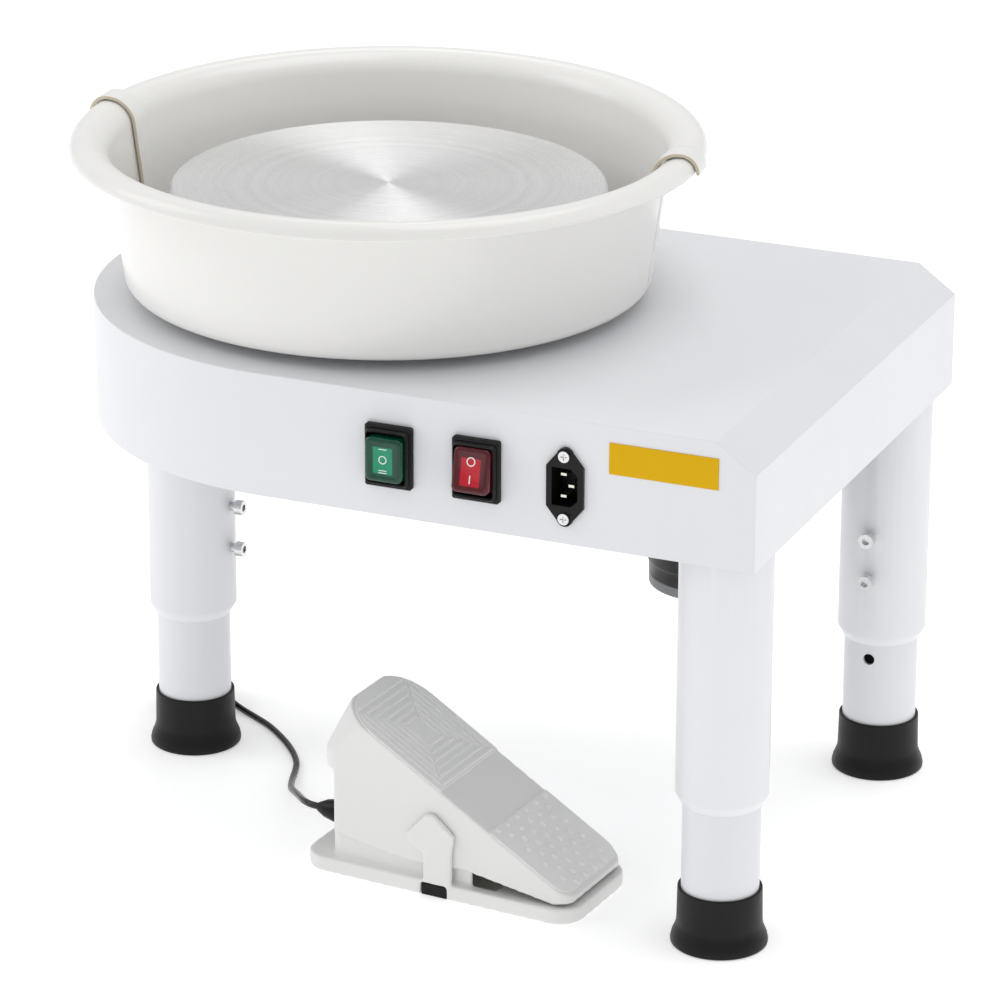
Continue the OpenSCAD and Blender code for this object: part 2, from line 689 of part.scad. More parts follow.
// Rotary speed sensor on the pivot's line, and the arm that turns it with the treadle
module pedal_sensor() on_pedal() color("dimgray") {
    translate([pivot.x, 4, pivot.y]) rotate([90, 0, 0]) disc(0, 12, 8.5, 3.06);
    box(pivot.x - 4, pivot.x + 4, -7, 3, base_t - 7, pivot.y - 8);
}

module pedal_sensor_arm() on_pedal() color("gray") union() {
    translate([pivot.x, 2, pivot.y]) rotate([90, 0, 0]) cylinder(h = 18, r = 3);
    side_slab([[pivot.x - 3, pivot.y], [pivot.x + 3, pivot.y],
        [pivot.x + 3, tread_z(pivot.x + 3, pad_t + 3)],
        [pivot.x - 3, tread_z(pivot.x - 3, pad_t + 3)]], -16, -11);
}

module pedal_rubber() on_pedal() color([0.06, 0.06, 0.06]) union() {
    box(-9.5, 8.5, -pedal_w / 2 + 0.5, pedal_w / 2 - 0.5, 0, 2);
    for (s = [-1, 1]) box(-9.5, 8.5, s * (pedal_w / 2 - 2.5) - 2, s * (pedal_w / 2 - 2.5) + 2, 0,
        base_t - 2);
}

// ---------------------------------------------------------------- pedal cord

cord_d = 4.5;
gland_dome = 20.5;
gland_y = -14;
gland_z = 30;

module pedal_gland() on_pedal() color([0.08, 0.08, 0.08])
    translate([rear_x - gland_dome, gland_y, gland_z]) rotate([0, -90, 0]) gland(gland_dome);

// The cord's way along the floor, from the pedal's gland to its coil behind the left leg.
// These points and the coil are in the object's own frame.
cord_route = [[-44.9, -128.3, 30], [-50.8, -127.7, 30], [-57.5, -126.1, 29.8], [-64, -121, 28.6],
    [-70.5, -112, 25.6], [-78, -100.5, 21.5], [-88, -85, 15.8], [-100, -66, 9], [-109, -46, 4.6],
    [-115, -29, 2.6], [-120, -16, 2.4], [-128, -3, 2.4], [-139, 10.5, 2.4], [-151, 22.5, 2.4],
    [-165, 34.5, 2.4], [-179, 43.5, 2.4], [-192, 51.5, 2.4], [-204, 60.1, 2.4],
    [-214.5, 68.9, 2.4]];
coil_at = [-229, 51.7];
coil_r = 22.5;
coil_turns = 5;

// From the coil's top turn up to the gland under the housing
riser_route = [[-221, 30.7, 25], [-215.5, 32.8, 27.5], [-211, 35.5, 33], [-208.5, 38.5, 41],
    [-208, 40.5, 52], [-208, 42, 70], [-208, 42, 110], [-208, 42, 150], [-208, 42, 190],
    [-208, 42, 230], [-208, 42, 262]];

function spline(p, i, t) = let (
    n = len(p) - 1, a = p[max(i - 1, 0)], b = p[i], c = p[min(i + 1, n)], d = p[min(i + 2, n)])
    0.5 * (2 * b + (c - a) * t + (2 * a - 5 * b + 4 * c - d) * t * t
        + (3 * b - a - 3 * c + d) * t * t * t);

function along(p, steps) = concat([for (i = [0:len(p) - 2], k = [0:steps - 1])
    spline(p, i, k / steps)], [p[len(p) - 1]]);

function heading(p, i) = let (n = len(p) - 1, v = p[min(i + 1, n)] - p[max(i - 1, 0)])
    v / norm(v);

// Rings of points square to the path; up is any direction the path never takes
function ring(p, i, r, up, sides) = let (
    t = heading(p, i), u = cross(t, up) / norm(cross(t, up)), v = cross(u, t))
    [for (k = [0:sides - 1]) p[i] + r * (u * cos(360 * k / sides) + v * sin(360 * k / sides))];

module tube(path, r, up, sides = 8) {
    n = len(path);
    points = [for (i = [0:n - 1]) each ring(path, i, r, up, sides)];
    sides_faces = [for (i = [0:n - 2], k = [0:sides - 1])
        let (a = i * sides + k, b = i * sides + (k + 1) % sides)
        each [[a, a + sides, b + sides], [a, b + sides, b]]];
    polyhedron(points, concat(sides_faces, [[for (k = [0:sides - 1]) k]],
        [[for (k = [sides - 1:-1:0]) (n - 1) * sides + k]]));
}

module pedal_cord() color([0.08, 0.08, 0.08]) tube(along(cord_route, 2), cord_d / 2, [0, 0, 1]);

module pedal_cord_riser() color([0.08, 0.08, 0.08])
    tube(along(riser_route, 2), cord_d / 2, [0.3, 1, 0]);

module pedal_cord_coil() color([0.08, 0.08, 0.08]) translate([coil_at.x, coil_at.y, 0])
    disc(0.1, 0.1 + coil_turns * (cord_d + 0.1), coil_r + cord_d / 2, coil_r - cord_d / 2);

module cord_tie() color([0.12, 0.12, 0.12]) translate([coil_at.x, coil_at.y, 0]) rotate(150)
    rotate_extrude(angle = 14) difference() {
        translate([coil_r - cord_d / 2 - 0.8, 0.05])
            square([cord_d + 1.6, coil_turns * (cord_d + 0.1) + 0.9]);
        translate([coil_r - cord_d / 2, 0.1]) square([cord_d, coil_turns * (cord_d + 0.1)]);
    }

housing_shell();
leg_channels();
leg_tube_left();
leg_tube_front();
leg_tube_rear();
leg_bolts();
leg_lock_screws();
leg_post_left();
leg_post_front();
leg_post_rear();
foot_left();
foot_front();
foot_rear();
bearing_housing();
bearing_housing_bolts();
spindle_bearings();
spindle_shaft();
wheel_hub();
hub_screws();
wheel_head();
driven_pulley();
drive_belt();
motor_pulley();
motor_shaft();
motor_body();
motor_end_ring();
motor_bracket();
motor_screws();
controller_box();
control_board();
cord_bracket();
housing_gland();
direction_switch_body();
direction_rocker();
direction_cover();
power_switch_body();
power_rocker();
power_cover();
inlet_body();
inlet_pins();
inlet_screws();
label_plate();
pan_front();
pan_back();
pan_pads_front();
pan_pads_back();
pedal_base();
pedal_treadle();
toe_pad();
heel_pad();
pedal_pins();
pedal_spring();
pedal_sensor();
pedal_sensor_arm();
pedal_rubber();
pedal_gland();
pedal_cord();
pedal_cord_coil();
pedal_cord_riser();
cord_tie();
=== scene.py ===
"""Looks of the electric pottery wheel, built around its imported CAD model. Lengths are in metres."""

import json
import math

import bmesh
import bpy
from mathutils import Matrix, Vector


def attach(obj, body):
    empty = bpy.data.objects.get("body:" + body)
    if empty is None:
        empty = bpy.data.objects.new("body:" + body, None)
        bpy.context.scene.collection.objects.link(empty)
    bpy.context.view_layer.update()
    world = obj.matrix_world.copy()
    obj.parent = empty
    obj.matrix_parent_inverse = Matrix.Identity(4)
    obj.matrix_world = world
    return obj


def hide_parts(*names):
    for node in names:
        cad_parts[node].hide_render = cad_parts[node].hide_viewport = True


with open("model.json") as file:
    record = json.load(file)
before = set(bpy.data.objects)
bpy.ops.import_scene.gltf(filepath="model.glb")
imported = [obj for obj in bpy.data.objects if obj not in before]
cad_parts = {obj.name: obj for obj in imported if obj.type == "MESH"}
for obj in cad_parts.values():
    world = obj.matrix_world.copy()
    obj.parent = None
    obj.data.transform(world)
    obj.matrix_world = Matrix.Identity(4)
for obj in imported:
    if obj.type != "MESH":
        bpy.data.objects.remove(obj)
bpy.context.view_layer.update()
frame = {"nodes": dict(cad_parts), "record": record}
MM = 0.001

# ---------------------------------------------------------------- camera

AZIMUTH, ELEVATION, ROLL = (math.radians(a) for a in (23.14, 20.89, 0.21))
CAMERA_AT = Vector((1.2258, -2.8204, 1.3777))
SENSOR_MM, LENS_MM, CLIP_END = 36, 182.72, 50


def make_camera():
    """A long lens in front and a little to the right, looking down on the wheel."""
    back = Vector((math.sin(AZIMUTH) * math.cos(ELEVATION),
                   -math.cos(AZIMUTH) * math.cos(ELEVATION), math.sin(ELEVATION)))
    right = Vector((math.cos(AZIMUTH), math.sin(AZIMUTH), 0))
    up = back.cross(right)
    r = right * math.cos(ROLL) + up * math.sin(ROLL)
    u = up * math.cos(ROLL) - right * math.sin(ROLL)
    data = bpy.data.cameras.new("camera")
    data.sensor_width = SENSOR_MM
    data.lens = LENS_MM
    data.clip_end = CLIP_END
    cam = bpy.data.objects.new("camera", data)
    bpy.context.scene.collection.objects.link(cam)
    cam.matrix_world = Matrix((
        (r.x, u.x, back.x, CAMERA_AT.x), (r.y, u.y, back.y, CAMERA_AT.y),
        (r.z, u.z, back.z, CAMERA_AT.z), (0, 0, 0, 1)))
    bpy.context.scene.camera = cam


make_camera()

# ---------------------------------------------------------------- pedal cord

CORD_D = 4.5 * MM
ROUTE = [(-44.9, -128.3, 30), (-50.8, -127.7, 30), (-57.5, -126.1, 29.8), (-64, -121, 28.6),
         (-70.5, -112, 25.6), (-78, -100.5, 21.5), (-88, -85, 15.8), (-100, -66, 9),
         (-109, -46, 4.6), (-115, -29, 2.6), (-120, -16, 2.4), (-128, -3, 2.4),
         (-139, 10.5, 2.4), (-151, 22.5, 2.4), (-165, 34.5, 2.4), (-179, 43.5, 2.4),
         (-192, 51.5, 2.4), (-204, 60.1, 2.4), (-214.5, 68.9, 2.4)]
RISER = [(-221, 30.7, 25), (-215.5, 32.8, 27.5), (-211, 35.5, 33), (-208.5, 38.5, 41),
         (-208, 40.5, 52), (-208, 42, 70), (-208, 42, 110), (-208, 42, 150), (-208, 42, 190),
         (-208, 42, 230), (-208, 42, 262)]
COIL_AT, COIL_R, COIL_TURNS, COIL_STEPS = (-229, 51.7), 22.5, 4, 168


def spline(points, steps):
    """Points of a smooth curve through the given ones."""
    p = [Vector(q) for q in points]
    out = []
    for i in range(len(p) - 1):
        a, b, c, d = p[max(i - 1, 0)], p[i], p[i + 1], p[min(i + 2, len(p) - 1)]
        for k in range(steps):
            t = k / steps
            out.append(0.5 * (2 * b + (c - a) * t + (2 * a - 5 * b + 4 * c - d) * t ** 2
                              + (3 * b - a - 3 * c + d) * t ** 3))
    return out + [p[-1]]


def link(name, data):
    """A new object in the scene."""
    obj = bpy.data.objects.new(name, data)
    bpy.context.scene.collection.objects.link(obj)
    return obj


def mesh_piece(name, verts, faces):
    """A new mesh object from points in millimetres."""
    mesh = bpy.data.meshes.new(name)
    mesh.from_pydata([(x * MM, y * MM, z * MM) for x, y, z in verts], [], faces)
    return link(name, mesh)


def swept_tube(name, path, radius, sides=16):
    """A round tube along a path, with a frame that is carried along it without twisting."""
    side = Vector((0, 0, 1)).cross(path[1] - path[0]).normalized()
    verts, faces = [], []
    for i, p in enumerate(path):
        ahead = (path[min(i + 1, len(path) - 1)] - path[max(i - 1, 0)]).normalized()
        side = (side - ahead * side.dot(ahead)).normalized()
        up = ahead.cross(side)
        for k in range(sides):
            a = 2 * math.pi * k / sides
            verts.append(p + (side * math.cos(a) + up * math.sin(a)) * radius)
    for i in range(len(path) - 1):
        for k in range(sides):
            a, b = i * sides + k, i * sides + (k + 1) % sides
            faces.append((a, b, b + sides, a + sides))
    faces.append(tuple(range(sides - 1, -1, -1)))
    faces.append(tuple(len(verts) - sides + k for k in range(sides)))
    obj = mesh_piece(name, verts, faces)
    for poly in obj.data.polygons:
        poly.use_smooth = len(poly.vertices) == 4
    return obj


def make_cord():
    """The pedal's cord: along the floor, round its coil behind the left leg, up to its gland."""
    start = math.atan2(ROUTE[-1][1] - COIL_AT[1], ROUTE[-1][0] - COIL_AT[0])
    end = math.atan2(RISER[0][1] - COIL_AT[1], RISER[0][0] - COIL_AT[0])
    end += 2 * math.pi * (COIL_TURNS + (end < start))
    low, high = ROUTE[-1][2], RISER[0][2]
    coil = []
    for k in range(1, COIL_STEPS):
        a = start + (end - start) * k / COIL_STEPS
        coil.append(Vector((COIL_AT[0] + COIL_R * math.cos(a), COIL_AT[1] + COIL_R * math.sin(a),
                            low + (high - low) * k / COIL_STEPS)))
    path = spline(ROUTE, 5) + coil + spline(RISER, 5)
    obj = swept_tube("pedal_lead", path, CORD_D / MM / 2)
    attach(obj, "frame")
    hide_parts("pedal_cord", "pedal_cord_coil", "pedal_cord_riser")
    tie = soften("cord_tie", 0.2 * MM)
    return obj


# ---------------------------------------------------------------- materials


def node_material(name, base, rough, metal=0.0, coat=0.0, aniso=0.0, ior=1.5, subsurface=0.0,
                  coat_rough=0.1):
    """A material, its uniform values on the shader's sockets. Returns (material, tree, shader)."""
    mat = bpy.data.materials.new(name)
    mat.use_nodes = True
    tree = mat.node_tree
    shader = tree.nodes["Principled BSDF"]
    ins = shader.inputs
    ins["Base Color"].default_value = (*base, 1)
    ins["Roughness"].default_value = rough
    ins["Metallic"].default_value = metal
    ins["Coat Weight"].default_value = coat
    ins["Coat Roughness"].default_value = coat_rough
    ins["Anisotropic"].default_value = aniso
    ins["IOR"].default_value = ior
    ins["Subsurface Weight"].default_value = subsurface
    ins["Subsurface Radius"].default_value = (0.004, 0.003, 0.002)
    ins["Subsurface Scale"].default_value = 1
    mat.diffuse_color = (*base, 1)
    return mat, tree, shader


def noise(tree, scale, detail=3, stretch=(1, 1, 1), rough=0.5):
    """A noise texture in object space. Returns its value socket."""
    coords = tree.nodes.new("ShaderNodeTexCoord")
    mapping = tree.nodes.new("ShaderNodeMapping")
    mapping.inputs["Scale"].default_value = stretch
    tex = tree.nodes.new("ShaderNodeTexNoise")
    tex.inputs["Scale"].default_value = scale
    tex.inputs["Detail"].default_value = detail
    tex.inputs["Roughness"].default_value = rough
    tree.links.new(coords.outputs["Object"], mapping.inputs["Vector"])
    tree.links.new(mapping.outputs["Vector"], tex.inputs["Vector"])
    return tex.outputs["Fac"]


NOISE_LOW, NOISE_HIGH = 0.3, 0.7  # where most of a noise texture's values lie


def ramp(tree, value, low, high):
    """A colour ramp between two colours. Returns its colour socket."""
    node = tree.nodes.new("ShaderNodeValToRGB")
    node.color_ramp.elements[0].position = NOISE_LOW
    node.color_ramp.elements[1].position = NOISE_HIGH
    node.color_ramp.elements[0].color = (*low, 1)
    node.color_ramp.elements[1].color = (*high, 1)
    tree.links.new(value, node.inputs["Fac"])
    return node.outputs["Color"]


def spread(tree, value, low, high):
    """Maps a noise's values to low-high. Returns a number socket."""
    node = tree.nodes.new("ShaderNodeMapRange")
    for socket, number in zip(("From Min", "From Max", "To Min", "To Max"),
                              (NOISE_LOW, NOISE_HIGH, low, high)):
        node.inputs[socket].default_value = number
    tree.links.new(value, node.inputs["Value"])
    return node.outputs["Result"]


def bump(tree, shader, value, strength, distance):
    """A bump on the shader's normal from a value."""
    node = tree.nodes.new("ShaderNodeBump")
    node.inputs["Strength"].default_value = strength
    node.inputs["Distance"].default_value = distance
    tree.links.new(value, node.inputs["Height"])
    tree.links.new(node.outputs["Normal"], shader.inputs["Normal"])


def darker(base, share):
    """A colour at a share of its brightness."""
    return tuple(c * share for c in base)


def moulded(name, base, rough, shade=0.97, grain=900, depth=0.00004, **more):
    """Plastic, rubber or paint: a faint drift of colour, uneven gloss and a fine surface grain."""
    mat, tree, shader = node_material(name, base, rough, **more)
    drift = noise(tree, 14, 4)
    tree.links.new(ramp(tree, drift, darker(base, shade), base), shader.inputs["Base Color"])
    tree.links.new(spread(tree, noise(tree, 60, 3), rough * 0.88, rough * 1.14),
                   shader.inputs["Roughness"])
    bump(tree, shader, noise(tree, grain, 2), 0.5, depth)
    return mat


def brushed(name, base, rough, stretch=(1, 1, 30), scale=120, **more):
    """Metal with fine lines along one direction."""
    mat, tree, shader = node_material(name, base, rough, metal=1.0, **more)
    lines = noise(tree, scale, 4, stretch)
    tree.links.new(ramp(tree, lines, darker(base, 0.9), base), shader.inputs["Base Color"])
    tree.links.new(spread(tree, lines, rough * 0.8, rough * 1.25), shader.inputs["Roughness"])
    bump(tree, shader, lines, 0.25, 0.00003)
    return mat


M = {
    "paint": moulded("powder_coat", (0.82, 0.835, 0.865), 0.34, 0.985, 700, 0.00005),
    "post": moulded("post_coat", (0.81, 0.825, 0.855), 0.32, 0.985, 700, 0.00004),
    "pan": moulded("pan_plastic", (0.88, 0.872, 0.852), 0.24, 0.985, 260, 0.00002, subsurface=0.08),
    "rubber": moulded("foot_rubber", (0.004, 0.004, 0.004), 0.42, 0.8, 1100, 0.00005, ior=1.34),
    "black": moulded("black_plastic", (0.005, 0.005, 0.0055), 0.34, 0.8, 900, 0.00003, ior=1.32),
    "motor": moulded("motor_paint", (0.012, 0.012, 0.013), 0.38, 0.8, 500, 0.00006),
    "motor_grey": moulded("motor_grey", (0.24, 0.25, 0.26), 0.45, 0.9, 500, 0.00005),
    "belt": moulded("belt_rubber", (0.015, 0.015, 0.015), 0.6, 0.7, 1400, 0.00008),
    "jacket": moulded("cord_jacket", (0.011, 0.011, 0.012), 0.28, 0.8, 500, 0.00002),
    "pad": moulded("pad_rubber", (0.22, 0.22, 0.22), 0.6, 0.85, 1100, 0.00005),
    "pedal": moulded("pedal_plastic", (0.84, 0.838, 0.822), 0.38, 0.985, 500, 0.00003,
                     subsurface=0.06),
    "grip": moulded("pedal_grip", (0.90, 0.898, 0.885), 0.42, 0.98, 700, 0.00003),
    "board": moulded("board_green", (0.01, 0.09, 0.04), 0.3, 0.8, 300, 0.00005),
    "sensor": moulded("sensor_grey", (0.10, 0.105, 0.11), 0.45, 0.85, 900, 0.00004),
    "label": moulded("label_film", (0.76, 0.44, 0.0), 0.42, 0.97, 500, 0.00001, ior=1.25),
    "green": moulded("green_rocker", (0.0, 0.22, 0.10), 0.3, 0.9, 600, 0.00002),
    "red": moulded("red_rocker", (0.55, 0.004, 0.006), 0.3, 0.9, 600, 0.00002),
    "zinc": brushed("bright_zinc", (0.74, 0.75, 0.76), 0.24, (1, 1, 1), 300),
    "steel": brushed("shaft_steel", (0.60, 0.61, 0.63), 0.26, (1, 1, 20)),
    "cast": brushed("cast_aluminium", (0.55, 0.56, 0.57), 0.5, (1, 1, 1), 500),
    "brass": brushed("plated_pin", (0.80, 0.76, 0.66), 0.25, (1, 1, 1), 300),
}

SLOT_LOOK = {
    "housing_paint": "paint", "post_paint": "post", "bright_zinc": "zinc", "shaft_steel": "steel",
    "turned_aluminium": "turned", "cast_aluminium": "cast", "foot_rubber": "rubber",
    "motor_paint": "motor", "motor_grey": "motor_grey", "belt_rubber": "belt",
    "black_plastic": "black", "green_rocker": "green", "green_cover": "green",
    "red_rocker": "red", "red_cover": "red", "brass_pin": "brass", "label_yellow": "label",
    "board_green": "board", "pan_plastic": "pan", "pad_rubber": "pad", "pedal_plastic": "pedal",
    "pedal_pad": "grip", "pedal_black": "rubber", "sensor_grey": "sensor", "cord_jacket": "jacket",
}
SLOT = {part["node"]: part["material_slot"] for part in frame["record"]["subparts"]}
BODY = {node: body for body, nodes in frame["record"]["behaviour"]["bodies"].items()
        for node in nodes}


def set_material(obj, mat):
    """Makes a material the only one of an object."""
    obj.data.materials.clear()
    obj.data.materials.append(mat)


def mask_box(tree, centre, half, edge):
    """1 inside a box in object space, falling to 0 over its edge. Returns a socket."""
    coords = tree.nodes.new("ShaderNodeTexCoord")
    off = tree.nodes.new("ShaderNodeVectorMath")
    off.operation = "SUBTRACT"
    off.inputs[1].default_value = centre
    tree.links.new(coords.outputs["Object"], off.inputs[0])
    size = tree.nodes.new("ShaderNodeVectorMath")
    size.operation = "ABSOLUTE"
    tree.links.new(off.outputs["Vector"], size.inputs[0])
    split = tree.nodes.new("ShaderNodeSeparateXYZ")
    tree.links.new(size.outputs["Vector"], split.inputs["Vector"])
    outs = []
    for axis, reach in zip("XYZ", half):
        if reach is None:
            continue
        step = tree.nodes.new("ShaderNodeMapRange")
        step.interpolation_type = "SMOOTHSTEP"
        step.inputs["From Min"].default_value = reach + edge
        step.inputs["From Max"].default_value = reach - edge
        tree.links.new(split.outputs[axis], step.inputs["Value"])
        outs.append(step.outputs["Result"])
    total = outs[0]
    for other in outs[1:]:
        join = tree.nodes.new("ShaderNodeMath")
        join.operation = "MULTIPLY"
        tree.links.new(total, join.inputs[0])
        tree.links.new(other, join.inputs[1])
        total = join.outputs["Value"]
    return total


WINDOW_HALF_W, WINDOW_HALF_H, WINDOW_EDGE = 6.4, 8.6, 0.5


def lens(name, dark, bright, centre):
    """A switch cover: a dark edge round a bright window, drawn in the cover's own space, with a faint
    painted glow.
    """
    mat, tree, shader = node_material(name, dark, 0.12, coat=0.3, coat_rough=0.04, ior=1.36)
    window = mask_box(tree, centre, (WINDOW_HALF_W * MM, None, WINDOW_HALF_H * MM),
                      WINDOW_EDGE * MM)
    mix = tree.nodes.new("ShaderNodeMix")
    mix.data_type = "RGBA"
    tree.links.new(window, mix.inputs["Factor"])
    rim = noise(tree, 260, 3, (1, 1, 1))
    tree.links.new(ramp(tree, rim, darker(dark, 0.7), dark), mix.inputs["A"])
    tree.links.new(ramp(tree, rim, darker(bright, 0.85), bright), mix.inputs["B"])
    tree.links.new(mix.outputs["Result"], shader.inputs["Base Color"])
    # Painted glow: the cover's colours are also its emission, so the cover glows a little though it
    # is no lamp
    tree.links.new(mix.outputs["Result"], shader.inputs["Emission Color"])
    shader.inputs["Emission Strength"].default_value = 0.08
    tree.links.new(spread(tree, noise(tree, 80, 3), 0.10, 0.16), shader.inputs["Roughness"])
    bump(tree, shader, noise(tree, 90, 2), 0.25, 0.00004)
    return mat


def turned(name, base, centre_x):
    """Turned aluminium: fine rings about the spindle, and the stretched glints they give."""
    mat, tree, shader = node_material(name, base, 0.27, metal=1.0, aniso=0.9)
    shader.inputs["Anisotropic Rotation"].default_value = 0.25
    coords = tree.nodes.new("ShaderNodeTexCoord")
    place = tree.nodes.new("ShaderNodeMapping")
    place.inputs["Location"].default_value = (-centre_x, 0, 0)
    place.inputs["Scale"].default_value = (1, 1, 0)
    tree.links.new(coords.outputs["Object"], place.inputs["Vector"])
    radius = tree.nodes.new("ShaderNodeVectorMath")
    radius.operation = "LENGTH"
    tree.links.new(place.outputs["Vector"], radius.inputs[0])

    def rings(scale, detail):
        times = tree.nodes.new("ShaderNodeMath")
        times.operation = "MULTIPLY"
        times.inputs[1].default_value = scale
        tree.links.new(radius.outputs["Value"], times.inputs[0])
        tex = tree.nodes.new("ShaderNodeTexNoise")
        tex.noise_dimensions = "1D"
        tex.inputs["Scale"].default_value = 1
        tex.inputs["Detail"].default_value = detail
        tree.links.new(times.outputs["Value"], tex.inputs["W"])
        return tex.outputs["Fac"]

    broad, fine = rings(160, 4), rings(2600, 2)
    tree.links.new(ramp(tree, broad, darker(base, 0.94), base), shader.inputs["Base Color"])
    tree.links.new(spread(tree, fine, 0.22, 0.34), shader.inputs["Roughness"])
    lines = tree.nodes.new("ShaderNodeMath")
    lines.operation = "ADD"
    tree.links.new(broad, lines.inputs[0])
    tree.links.new(fine, lines.inputs[1])
    bump(tree, shader, lines.outputs["Value"], 0.12, 0.00001)
    tangent = tree.nodes.new("ShaderNodeTangent")
    tangent.direction_type = "RADIAL"
    tangent.axis = "Z"
    tree.links.new(tangent.outputs["Tangent"], shader.inputs["Tangent"])
    return mat


SPINDLE_X = frame["record"]["mounts"][0]["pos_m"][0]
M["turned"] = turned("turned_aluminium", (0.94, 0.94, 0.94), SPINDLE_X)
M["green_lens"] = lens("green_lens", (0.0, 0.06, 0.03), (0.0, 0.27, 0.135), (0, 0, 0))
M["red_lens"] = lens("red_lens", (0.09, 0.003, 0.008), (0.50, 0.004, 0.018), (0, 0, -1 * MM))
M["mark"] = moulded("printed_mark", (0.85, 0.85, 0.85), 0.4, 0.95, 500, 0.00001)
M["boot"] = moulded("switch_boot", (0.007, 0.007, 0.0075), 0.30, 0.8, 900, 0.00003, ior=1.32)
M["seam"] = moulded("seam_edge", (0.70, 0.63, 0.48), 0.5, 0.85, 400, 0.00003)


def look_of(node):
    """The material of a CAD node's slot."""
    return M[SLOT_LOOK[SLOT[node]]]


for node, obj in frame["nodes"].items():
    set_material(obj, look_of(node))

# ---------------------------------------------------------------- softened CAD pieces


EDGE_ANGLE = 35  # in degrees: an edge folded more than this is a real one


def finish_piece(obj, node, mat):
    """Puts a new piece on the node's body, gives it the material if it has none, and hides the node.
    """
    if not obj.data.materials:
        set_material(obj, mat)
    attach(obj, BODY[node])
    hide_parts(node)
    return obj


def smooth(obj, angle=EDGE_ANGLE):
    """Shades an object smooth, apart from edges folded more than an angle."""
    for poly in obj.data.polygons:
        poly.use_smooth = True
    obj.data.set_sharp_from_angle(angle=math.radians(angle))


def add_bevel(obj, width, segments=3):
    """Rounds an object's real edges."""
    mod = obj.modifiers.new("edge", "BEVEL")
    mod.width = width
    mod.segments = segments
    mod.limit_method = "ANGLE"
    mod.angle_limit = math.radians(EDGE_ANGLE)
    mod.harden_normals = True
    mod.use_clamp_overlap = True
    return mod


def merged_copy(node):
    """A CAD node's mesh, and a bmesh of it with its doubled points merged and flat faces joined."""
    mesh = frame["nodes"][node].data.copy()
    bm = bmesh.new()
    bm.from_mesh(mesh)
    bmesh.ops.remove_doubles(bm, verts=bm.verts, dist=2e-6)
    bmesh.ops.dissolve_limit(bm, angle_limit=math.radians(0.6), verts=bm.verts, edges=bm.edges,
                             use_dissolve_boundaries=False)
    return mesh, bm


def soften(node, width):
    """A copy of a CAD node with its edges rounded."""
    mesh, bm = merged_copy(node)
    bm.to_mesh(mesh)
    bm.free()
    obj = link(node + "_look", mesh)
    smooth(obj)
    add_bevel(obj, width)
    return finish_piece(obj, node, look_of(node))


lead = make_cord()
set_material(lead, M["jacket"])

# The edge radius of each plain piece, in millimetres
for name, width in [
        ("leg_channels", 0.6), ("leg_lock_screws", 0.5), ("bearing_housing", 0.8),
        ("bearing_housing_bolts", 0.4), ("wheel_hub", 0.6), ("hub_screws", 0.4),
        ("driven_pulley", 0.4), ("motor_pulley", 0.4), ("motor_shaft", 0.4), ("motor_body", 1.0),
        ("motor_end_ring", 0.8), ("motor_bracket", 0.6), ("motor_screws", 0.4),
        ("controller_box", 0.5), ("control_board", 0.3), ("cord_bracket", 0.5),
        ("leg_bolts", 0.4), ("pedal_pins", 0.3), ("pedal_sensor", 0.5), ("label_plate", 0.25),
        ("pedal_rubber", 0.5), ("housing_gland", 0.4), ("pedal_gland", 0.5),
        ("leg_tube_left", 0.5), ("leg_tube_front", 0.5), ("leg_tube_rear", 0.5),
        ("leg_post_left", 0.3), ("leg_post_front", 0.3), ("leg_post_rear", 0.3),
        ("foot_left", 0.8), ("foot_front", 0.8), ("foot_rear", 0.8), ("inlet_body", 0.4),
        ("inlet_pins", 0.35), ("inlet_screws", 0.25), ("wheel_head", 0.5)]:
    soften(name, width * MM)


def mould(node, voxel, rounds):
    """A copy of a CAD node with every edge rounded as a moulding's is: remeshed, then smoothed."""
    obj = link(node + "_look", frame["nodes"][node].data.copy())
    for kind, settings in (
            ("REMESH", {"mode": "VOXEL", "voxel_size": voxel}),
            ("SMOOTH", {"factor": 0.5, "iterations": rounds})):
        mod = obj.modifiers.new(kind.lower(), kind)
        for key, value in settings.items():
            setattr(mod, key, value)
    bpy.context.view_layer.update()
    shape = obj.evaluated_get(bpy.context.evaluated_depsgraph_get())
    mesh = bpy.data.meshes.new_from_object(shape)
    obj.modifiers.clear()
    obj.data = mesh
    for poly in mesh.polygons:
        poly.use_smooth = True
    return finish_piece(obj, node, look_of(node))


MOULD_VOXEL = 0.9
mould("pedal_base", MOULD_VOXEL * MM, 8)
mould("pedal_treadle", MOULD_VOXEL * MM, 10)

# ---------------------------------------------------------------- housing

HOUSING_TOP, HOUSING_BOTTOM, HOUSING_HALF_W = 342, 262, 185
ROUND_END_X = -5  # the round end's centre, from the spindle
CHAMFER_RUN, CHAMFER_DROP = 25.6, 18
BEND_R, RIM_R = 2.6, 0.35


